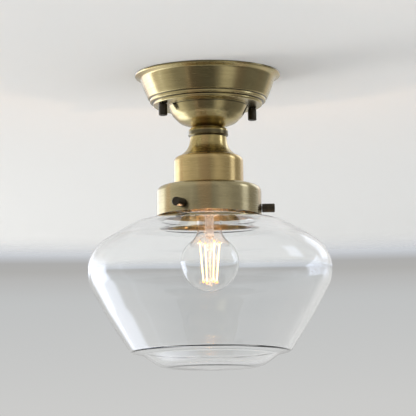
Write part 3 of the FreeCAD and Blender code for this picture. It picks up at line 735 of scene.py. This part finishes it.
@dataclass
class Column:
    """Turned neck, spun cup and spun gallery, one under the other."""

    wall: float = 1.2
    neck: Outline = (
        (5.1, -55.4), (14.2, -55.4), (14.2, -55.7), (20.7, -56.9, 4.0), (20.7, -64.0, 1.5),
        (19.0, -65.6, 0.8), (19.5, -72.5, 24.0), (22.6, -79.5, 16.0), (29.3, -85.1),
        (29.3, -85.5), (5.1, -85.5))
    # Painted shade under the bead, a painted shadow on the waist below it, and painted shade at
    # the flare's foot.
    neck_painted_shade: Pairs = ((-61.9, 3.6), (-65.0, 1.5), (-85.4, 1.4))
    cup: Outline = ((5.1, -85.5), (35.8, -85.5, 6.0), (35.8, -116.8))
    # Painted shadow line at the cup's foot, where it sits on the gallery.
    cup_painted_shadow: Pairs = ((-116.6, 1.0),)
    gallery: Outline = ((19.8, -116.8), (53.8, -116.8, 6.5), (53.8, -147.3))

    def build(self) -> None:
        """Makes all three."""
        # The cup's brass is lighter and warmer and the gallery's darker: painted light, for how
        # the light falls on each.
        neck = TurnedBrass("Neck brass", (0.52, 0.41, 0.175), (0.32, 0.24, 0.09),
                           patina_and_shade_lines=self.neck_painted_shade)
        cup = TurnedBrass("Cup brass", (0.60, 0.45, 0.205), (0.42, 0.305, 0.125),
                          patina_and_shade_lines=self.cup_painted_shadow)
        gallery = TurnedBrass("Gallery brass", (0.47, 0.40, 0.23), (0.31, 0.26, 0.14))
        for name, lathe, finish, node in (
                ("turned_neck", Lathe(self.neck, closed=True, segments=128), neck, "neck"),
                ("spun_cup", Lathe(self.cup, self.wall), cup, "cup"),
                ("spun_gallery", Lathe(self.gallery, self.wall, segments=192), gallery,
                 "gallery")):
            put(name, lathe.mesh(node), finish, Body.FIXED.value, Slot.BRASS, node)


@dataclass
class Screws:
    """Barrel heads of the thumbscrews and canopy screws."""

    radius: float = 4.5
    chamfer: float = 0.6
    bore: float = 2.0
    bore_depth: float = 8.05
    foot_round: Pair = (0.15, 0.2)
    end_round: float = 0.25
    dish_edge: float = 1.6
    dish_slope: float = 0.3
    dish_depth: float = 0.25
    gallery_radius: float = 53.8
    thumb_height: float = -139.8
    thumb_length: float = 13.0
    thumb_gap: float = 0.4
    first: float = -20.5
    canopy_place: float = 49.0
    canopy_top: float = -33.1
    canopy_length: float = 12.0

    def head(self, length: float) -> Lathe:
        """Outline of a head whose foot is at the origin and whose dished end points along +Z."""
        inner, dish = self.radius - self.chamfer, self.radius - self.dish_edge
        floor = length - self.dish_depth
        foot_inner, foot_outer = self.foot_round
        return Lathe((
            (0.0, self.bore_depth), (self.bore, self.bore_depth), (self.bore, 0.0),
            (inner, 0.0, foot_inner), (self.radius, self.chamfer, foot_outer),
            (self.radius, length - self.chamfer, self.end_round),
            (inner, length, self.end_round), (dish, length, self.dish_slope),
            (dish - self.dish_slope, floor, self.dish_slope), (0.0, floor)),
            segments=64, line_step=1.5)

    def build(self) -> None:
        """Makes all five heads."""
        for index in range(3):
            angle = math.radians(self.first + 120 * index)
            out = Vector((math.cos(angle), math.sin(angle), 0))
            foot = out * (self.gallery_radius + self.thumb_gap) + Vector((0, 0, self.thumb_height))
            self._put(f"thumbscrew_head_{index + 1}", f"thumbscrew_{index + 1}_head", foot, out,
                      self.thumb_length)
        for side, name in ((1, "right"), (-1, "left")):
            foot = Vector((side * self.canopy_place, 0, self.canopy_top))
            self._put(f"canopy_screw_head_{name}", f"canopy_screw_{name}_head", foot,
                      Vector((0, 0, -1)), self.canopy_length)

    def _put(self, node: str, body: str, foot: Vector, way: Vector, length: float) -> None:
        """Stands one head at its foot, pointing along its way."""
        turn = way.to_track_quat("Z", "Y").to_matrix().to_4x4()
        place = Matrix.Translation(foot * MM) @ turn
        put("dark_" + node, self.head(length).mesh(node, place), BRONZE, body, Slot.BRONZE, node)


@dataclass
class Lampholder:
    """Skirt and shade ring of the lampholder, seen dimly up in the gallery."""

    skirt: Outline = (
        (17.6, -114.8), (23.0, -114.8, 0.5), (23.0, -116.8), (19.5, -116.8), (19.5, -146.8, 0.5),
        (15.4, -146.8, 0.5), (15.4, -145.4), (17.6, -144.3))
    ring: Outline = (
        (19.6, -118.0), (26.0, -118.0), (26.0, -120.3, 0.6), (22.75, -120.3),
        (22.75, -122.6, 0.6), (19.6, -122.6))

    def build(self) -> None:
        """Makes the skirt and the ring."""
        for name, outline, mesh, node in (
                ("holder_skirt", self.skirt, "skirt", "lampholder_skirt"),
                ("holder_ring", self.ring, "ring", "shade_ring")):
            put(name, Lathe(outline, closed=True, segments=96).mesh(mesh), HOLDER,
                Body.FIXED.value, Slot.HOLDER, node)


# ---------- lamp
@dataclass
class FilamentLamp:
    """Clear filament lamp: envelope, stem, screw cap and four leaning filaments."""

    globe_radius: float = 30.0
    globe_height: float = -195.0
    neck_radius: float = 12.5
    neck_curve: float = 22.0
    neck_top: float = -143.65
    wall: float = 0.9
    neck_steps: int = 12
    globe_steps: int = 34
    glass_stem: Outline = (
        (0.0, -143.65), (11.5, -143.65), (4.6, -149.65, 2.0), (4.6, -163.65, 1.0),
        (5.4, -166.65, 1.5), (1.3, -169.65, 0.4), (1.3, -216.0, 0.3), (2.6, -217.5, 0.8),
        (0.0, -219.0))
    thread_top: float = -124.1
    thread_root: float = 12.2
    thread_crest: float = 13.1
    thread_round: float = 0.8
    pitch: float = 3.63
    turns: int = 5
    cap_top_radius: float = 11.0
    cap_skirt: Outline = ((13.0, -143.55), (13.0, -145.65))
    cap_wall: float = 0.4
    filaments: int = 4
    first: float = 4.5
    top_pcr: float = 11.3
    foot_pcr: float = 7.4
    stick: float = 0.75
    stick_round: float = 0.3

    def envelope(self) -> None:
        """Makes the glass envelope, drawn from its neck down to its tip."""
        across = self.neck_radius + self.neck_curve
        rise = math.sqrt((self.neck_curve + self.globe_radius) ** 2 - across ** 2)
        turn = math.atan2(rise, across)
        curve_z = self.globe_height + rise
        lathe = Lathe(wall=self.wall, segments=128, sharp=30.0)
        work = bmesh.new()
        tip = work.verts.new(Vector((self.neck_radius, 0, self.neck_top)) * MM)
        tip = lathe.run(work, tip, Vector((self.neck_radius, 0, curve_z)) * MM)
        tip = sweep(work, tip, Vector((across, 0, curve_z)) * MM, (0, -1, 0), turn,
                    self.neck_steps)
        tip = sweep(work, tip, Vector((0, 0, self.globe_height)) * MM, (0, 1, 0),
                    math.pi / 2 + turn, self.globe_steps)
        tip.co.x = 0.0
        put("lamp_globe", lathe.mesh("envelope", drawn=work), LAMP_GLASS, Body.LAMP.value,
            Slot.LAMP_GLASS, "lamp_envelope")

    def stem(self) -> None:
        """Makes the glass stem."""
        put("lamp_stem_glass", Lathe(self.glass_stem, segments=64).mesh("stem"), MilkyGlass(),
            Body.LAMP.value, Slot.LAMP_GLASS, "lamp_stem")

    def cap(self) -> None:
        """Makes the screw cap with its rounded thread."""
        root, crest, rounding = self.thread_root, self.thread_crest, self.thread_round
        corners: list[Corner] = [(self.cap_top_radius, self.thread_top), (root, self.thread_top)]
        for turn in range(self.turns):
            height = self.thread_top - turn * self.pitch
            if turn:
                corners.append((root, height, rounding))
            corners.append((crest, height - self.pitch / 2, rounding))
        corners.append((root, self.thread_top - self.turns * self.pitch, rounding))
        lathe = Lathe((*corners, *self.cap_skirt), self.cap_wall, segments=96, arc_step=12.0)
        put("lamp_screw_cap", lathe.mesh("cap"), NICKEL, Body.LAMP.value, Slot.NICKEL, "lamp_cap")

    def sticks(self) -> None:
        """Makes the four filament sticks as one piece."""
        work = bmesh.new()
        for index in range(self.filaments):
            angle = math.radians(self.first + 360 / self.filaments * index)
            out = Vector((math.cos(angle), math.sin(angle), 0))
            top = out * self.top_pcr + Vector((0, 0, FILAMENT_TOP))
            foot = out * self.foot_pcr + Vector((0, 0, FILAMENT_FOOT))
            run = top - foot
            turn = run.to_track_quat("Z", "Y").to_matrix().to_4x4()
            made = bmesh.ops.create_cone(
                work, cap_ends=True, segments=20, radius1=self.stick * MM, radius2=self.stick * MM,
                depth=run.length * MM, matrix=Matrix.Translation((top + foot) / 2 * MM) @ turn)
            rims = [e for v in made["verts"] for e in v.link_edges
                    if len(e.link_faces) == 2 and e.calc_face_angle(0.0) > 1.0]
            bmesh.ops.bevel(work, geom=list(set(rims)), offset=self.stick_round * MM, segments=3,
                            profile=0.5, affect="EDGES", material=-1)
        put("lamp_filament_sticks", written(work, "sticks", 40.0), GLOW, Body.LAMP.value,
            Slot.FILAMENT, "lamp_filaments")

    def build(self) -> None:
        """Makes every part of the lamp."""
        self.envelope()
        self.stem()
        self.cap()
        self.sticks()


# ---------- shade
@dataclass
class Shade:
    """Closed blown shade: lipped neck, rounded shoulder, tapering side, ledge and bowl."""

    wall: float = 2.6
    least_round: float = 0.2
    lip: Outline = ((50.2, -133.35, 1.4), (50.2, -137.55, 1.4))
    neck: Outline = ((47.5, -137.55), (47.5, -150.55, 3.0))
    shoulder: Outline = ((76.0, -153.85, 26.0), (138.2, -189.65, 38.0))
    side: Corner = (105.2, -250.05, 110.0)
    ledge: Outline = ((81.8, -286.85, 4.6), (69.3, -289.85, 2.8))
    bowl: Outline = ((52.0, -302.6, 30.0), (0.0, -305.45))

    def build(self) -> None:
        """Makes the shade, its outside first and then back up its inside."""
        start = (self.neck[0][0] - self.wall, self.lip[0][1])
        outside = (*self.neck, *self.shoulder, self.side, *self.ledge, *self.bowl)
        outline = (start, *self.lip, *outside, *reversed(self.inset(outside)))
        turned = Lathe(outline, closed=True, segments=192, line_step=4.0)
        put("blown_shade", turned.mesh("shade"), SHADE_GLASS, Body.SHADE.value,
            Slot.SHADE_GLASS, "glass_shade")

    def inset(self, corners: Outline) -> list[Corner]:
        """The same outline, one wall further in.

        Args:
            corners: The outside's corners, from the neck down to the axis.

        Returns:
            The inside's corners in the same order.
        """
        points = [Vector((corner[0], corner[1])) for corner in corners]
        steps = [(after - before).normalized() for before, after in zip(points, points[1:])]
        normals = [Vector((step.y, -step.x)) for step in steps]
        moved = []
        for index in range(1, len(points) - 1):
            into, out = normals[index - 1], normals[index]
            mean = (into + out).normalized()
            point = points[index] + mean * (self.wall / mean.dot(into))
            bends_in = steps[index - 1].cross(steps[index]) < 0
            rounding = corners[index][2] + (-self.wall if bends_in else self.wall)
            moved.append((point.x, point.y, max(rounding, self.least_round)))
        last = points[-1] + normals[-1] * self.wall
        moved.append((0.0, last.y - steps[-1].y * last.x / steps[-1].x))
        return moved


# ---------- wiring and fixing
@dataclass
class Fixing:
    """Pieces inside the canopy and the lampholder, which keep their CAD shape."""

    frame: dict

    def build(self) -> None:
        """Dresses every CAD node that stays."""
        for finish, names in (
                (STEEL, ("ceiling_strap", "terminal_block_screws", "block_fixing_screws",
                         "lock_washer", "canopy_screw_shank_right", "canopy_screw_shank_left",
                         "thumbscrew_shank_1", "thumbscrew_shank_2", "thumbscrew_shank_3")),
                (PLAIN_BRASS, ("earth_tag", "lock_nut", "threaded_tube", "lampholder_terminals",
                               "lampholder_contact")),
                (HOLDER, ("lampholder_cap",)),
                (NICKEL, ("lampholder_screw_shell", "lamp_contact", "lamp_filament_wires")),
                (PLASTIC, ("terminal_block",)),
                (CERAMIC, ("lampholder_insert",)),
                (BLACK_GLASS, ("lamp_insulator",)),
                (LIVE, ("live_lead",)),
                (NEUTRAL, ("neutral_lead",)),
                (EarthSleeve(), ("earth_lead",))):
            dress(self.frame, finish, *names)


# ---------- studio
@dataclass
class Room:
    """Plain light for matt surfaces; a room for what shows in metal and glass.

    The room has its windows behind the light's left, a second bright side behind its right, and a
    darker front. Its wall's shading below the ceiling is also the background. A band is an azimuth
    in degrees, from the camera's side towards the right, and a level. A height is the upward part
    of a direction, from -1 to 1, and a pair of them is where something starts and is full.
    """

    heading: float
    light_colour: Colour = (0.975, 0.99, 1.0)
    light_level: float = 0.85
    window_colour: Colour = (0.92, 1.0, 1.2)
    window_level: float = 2.0
    window_loss: float = 0.15
    through_floor: float = 0.8
    wall: tuple[tuple[float, Colour], ...] = (
        (0.0, (0.60, 0.60, 0.59)), (0.05, (0.60, 0.60, 0.59)), (0.10, (0.53, 0.54, 0.54)),
        (0.109, (0.48, 0.48, 0.475)), (0.1155, (0.41, 0.405, 0.39)),
        (0.118, (0.43, 0.43, 0.43)), (0.1195, (0.55, 0.575, 0.615)),
        (0.128, (0.64, 0.66, 0.69)), (0.15, (0.76, 0.76, 0.76)))
    low: Pairs = (
        (-180, 1.0), (-108, 1.2), (-98, 1.35), (-84, 1.2), (-74, 1.0), (-62, 0.62), (-40, 0.56),
        (-37, 0.95), (-34, 0.26), (10, 0.22), (20, 0.42), (34, 1.15), (46, 1.1), (56, 0.46),
        (66, 0.32), (94, 0.32), (108, 0.38), (128, 0.44), (141, 1.25), (163, 1.3), (171, 1.0),
        (180, 1.0))
    high: Pairs = (
        (-180, 1.0), (-109, 1.3), (-84, 1.25), (-50, 1.0), (-20, 0.85), (5, 0.7), (25, 0.98),
        (45, 0.68), (77, 0.84), (110, 0.74), (138, 0.95), (146, 1.3), (164, 1.3), (171, 1.0),
        (180, 1.0))
    low_window: Pairs = (
        (-154, 0.0), (-146, 0.8), (-132, 1.2), (-122, 1.6), (-117, 1.6), (-112, 0.12),
        (-97, 0.04), (-93, 0.25), (-89, 0.03), (-80, 0.0))
    high_window: Pairs = ((-166, 0.0), (-160, 0.8), (-117, 0.75), (-109, 0.1), (-100, 0.0))
    right_window: Pairs = (
        (78, 0.0), (84, 1.5), (95, 1.5), (101, 0.0), (128, 0.0), (136, 0.75), (150, 0.75),
        (157, 0.0))
    upper: Pair = (0.02, 0.14)
    window_head: Pair = (0.14, 0.34)
    right_sill: Pair = (0.17, 0.27)
    right_head: Pair = (0.52, 0.62)
    floor_shade: float = 0.5
    floor_heights: Pair = (-0.98, -0.55)

    def build(self) -> None:
        """Makes the world.

        Rays that come straight from the camera, also through glass, see the plain wall. Those
        that metal or glass mirrors see the room with its windows, and all others the plain light.
        """
        graph = Graph(bpy.data.worlds.new("studio"))
        share, height = self.direction(graph)
        camera = graph.node("ShaderNodeLightPath", output="Is Camera Ray")
        through = camera.out("Is Transmission Ray")
        mirrored = camera.out("Glossy Depth").at_most(1.0)
        straight = camera.at_least(through * (1.0 - mirrored))
        shown = camera.at_least(camera.out("Is Glossy Ray")).at_least(through)
        upper = height.step(*self.upper)
        lower = (1.0 - upper) * (1.0 - self.floor_shade
                                 + self.floor_shade * height.step(*self.floor_heights))
        level = (self.around(graph, share, self.low) * lower
                 + self.around(graph, share, self.high) * upper)
        level = level.at_least(through * self.through_floor)
        level = level + (1.0 - level) * straight
        pane = (self.around(graph, share, self.low_window) * lower
                + self.around(graph, share, self.high_window) * upper
                * (1.0 - height.step(*self.window_head))
                + self.around(graph, share, self.right_window) * height.step(*self.right_sill)
                * (1.0 - height.step(*self.right_head)))
        pane = pane * self.window_level * (1.0 - self.window_loss * through) * (1.0 - straight)
        wall = self.background(graph, graph.ramp(height, self.wall), level)
        window = self.background(graph, self.window_colour, pane)
        seen = graph.node("ShaderNodeAddShader", {}, {0: wall, 1: window})
        light = self.background(graph, self.light_colour, self.light_level)
        both = graph.node("ShaderNodeMixShader", {}, {0: shown, 1: light, 2: seen})
        bpy.context.scene.world = graph.finish(both, "ShaderNodeOutputWorld")

    def direction(self, graph: Graph) -> tuple[Field, Field]:
        """Azimuth of a ray as a share of a turn, from behind through the left, and its height."""
        x = graph.node("ShaderNodeSeparateXYZ", {},
                       {0: graph.node("ShaderNodeTexCoord", output="Generated")})
        y, height = x.out("Y"), x.out("Z")
        turned = math.radians(-self.heading)
        right = x * math.cos(turned) - y * math.sin(turned)
        front = -(x * math.sin(turned) + y * math.cos(turned))
        turn = graph.node("ShaderNodeMath", {"operation": "ARCTAN2"}, {0: right, 1: front})
        return turn / FULL_TURN + 0.5, height

    @staticmethod
    def around(graph: Graph, share: Field, bands: Pairs) -> Field:
        """Level at a share of a turn round the room, from bands of azimuth and level."""
        top = max(level for _, level in bands)
        stops = [((degrees + 180) / 360, (level / top,) * 3) for degrees, level in bands]
        return graph.ramp(share, stops) * top

    @staticmethod
    def background(graph: Graph, colour: Field | Colour, level: Field | float) -> Field:
        """Background shader of a colour and a level."""
        paint = colour if isinstance(colour, Field) else (*colour, 1.0)
        return graph.node("ShaderNodeBackground", {}, {"Color": paint, "Strength": level})


@dataclass
class Sheet:
    """Flat one-sided ring about the light's axis, in metres, that fades out at its edge."""

    name: str
    colour: Colour
    height: float
    inner: float
    outer: float
    fade: Pair
    faces_down: bool

    def build(self) -> None:
        """Makes the ring, which metal doesn't mirror."""
        work = bmesh.new()
        start = work.verts.new((self.inner, 0, self.height))
        tip = bmesh.ops.extrude_vert_indiv(work, verts=[start])["verts"][0]
        tip.co = Vector((self.outer, 0, self.height))
        full_turn(work, 128)
        for face in work.faces:
            face.normal_update()
            if (face.normal.z > 0) == self.faces_down:
                face.normal_flip()
        mesh = written(work, self.name, 30.0)
        mesh.materials.append(self.material())
        ring = stand(self.name, mesh)
        ring.visible_glossy = False

    def material(self) -> Material:
        """Plain matt material that is clear from behind and fades out towards the edge."""
        graph = Graph.material(self.name)
        x, y, _ = graph.place()
        matt = graph.node("ShaderNodeBsdfDiffuse", {}, {"Color": (*self.colour, 1.0)})
        clear = graph.node("ShaderNodeBsdfTransparent")
        behind = graph.node("ShaderNodeNewGeometry", output="Backfacing")
        gone = ((x * x + y * y) ** 0.5).step(*self.fade).at_least(behind)
        return graph.finish(graph.node("ShaderNodeMixShader", {}, {0: gone, 1: matt, 2: clear}))


@dataclass
class WindowLamp:
    """Soft rectangular lamp that faces the light, seen by nothing but what it lights.

    Its azimuth is in degrees, from the camera's side towards the right, its sizes are in metres
    and its power is in watts.
    """

    name: str
    azimuth: float
    distance: float
    height: float
    size: Pair
    power: float
    colour: Colour
    aim: float = -0.15

    def build(self, heading: float) -> None:
        """Makes the lamp for a camera that looks along a heading in degrees."""
        turn = math.radians(self.azimuth + heading)
        place = Vector((math.sin(turn) * self.distance, -math.cos(turn) * self.distance,
                        self.height))
        data = bpy.data.lights.new(self.name, "AREA")
        data.shape = "RECTANGLE"
        data.size, data.size_y = self.size
        data.energy, data.color = self.power, self.colour
        turn_to = (Vector((0, 0, self.aim)) - place).to_track_quat("-Z", "Y").to_matrix()
        lamp = stand(self.name, data, Matrix.Translation(place) @ turn_to.to_4x4())
        lamp.visible_camera = lamp.visible_glossy = lamp.visible_transmission = False


@dataclass
class FilamentLight:
    """The filaments' own light, which warms the metal above them."""

    place: Triple = (0.006, 0.016, -0.186)
    radius: float = 0.003
    power: float = 0.5
    colour: Colour = (1.0, 0.60, 0.34)

    def build(self) -> None:
        """Makes the point light."""
        data = bpy.data.lights.new("lamp_light", "POINT")
        data.shadow_soft_size = self.radius
        data.energy, data.color = self.power, self.colour
        light = stand("lamp_light", data, Matrix.Translation(self.place))
        light.visible_camera = light.visible_transmission = False


@dataclass
class Studio:
    """Camera at the photograph's place, pale ceiling and floor, soft lamps and the room."""

    eye: Triple = (-0.75427, -2.01390, -0.4489)
    heading: float = -20.5
    pitch: float = 8.2
    roll: float = -0.75
    lens: float = 183.46
    sensor: float = 36.0
    nearest: float = 0.05
    farthest: float = 60.0

    def camera(self) -> None:
        """Sets the camera at the photograph's place and angle."""
        data = bpy.data.cameras.new("camera")
        data.lens, data.sensor_width = self.lens, self.sensor
        data.clip_start, data.clip_end = self.nearest, self.farthest
        place = Matrix.Translation(self.eye)
        for degrees, axis in ((self.heading, "Z"), (90 + self.pitch, "X"), (self.roll, "Z")):
            place = place @ Matrix.Rotation(math.radians(degrees), 4, axis)
        bpy.context.scene.camera = stand("camera", data, place)

    def build(self) -> None:
        """Makes the whole studio."""
        bpy.context.scene.view_settings.view_transform = "Standard"
        self.camera()
        Room(self.heading).build()
        Sheet("ceiling", (0.80, 0.80, 0.795), 0.0003, 0.0745, 1.65, (1.28, 1.62), True).build()
        Sheet("floor", (0.80, 0.80, 0.79), -1.9, 0.0, 6.0, (5.0, 5.9), False).build()
        FilamentLight().build()
        WindowLamp("window_left", -118, 2.5, -0.75, (1.3, 1.2), 38.0,
                   (1.0, 0.98, 0.95)).build(self.heading)
        WindowLamp("window_right", 62, 2.6, -0.7, (0.7, 0.9), 5.0,
                   (0.96, 0.98, 1.0)).build(self.heading)


def main() -> None:
    """Builds the studio and every sub-assembly."""
    logging.basicConfig(level=logging.INFO, format="%(name)s %(message)s")
    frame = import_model()
    Studio().build()
    Canopy().build()
    Column().build()
    Screws().build()
    Lampholder().build()
    FilamentLamp().build()
    Shade().build()
    Fixing(frame).build()


if __name__ == "__main__":
    main()
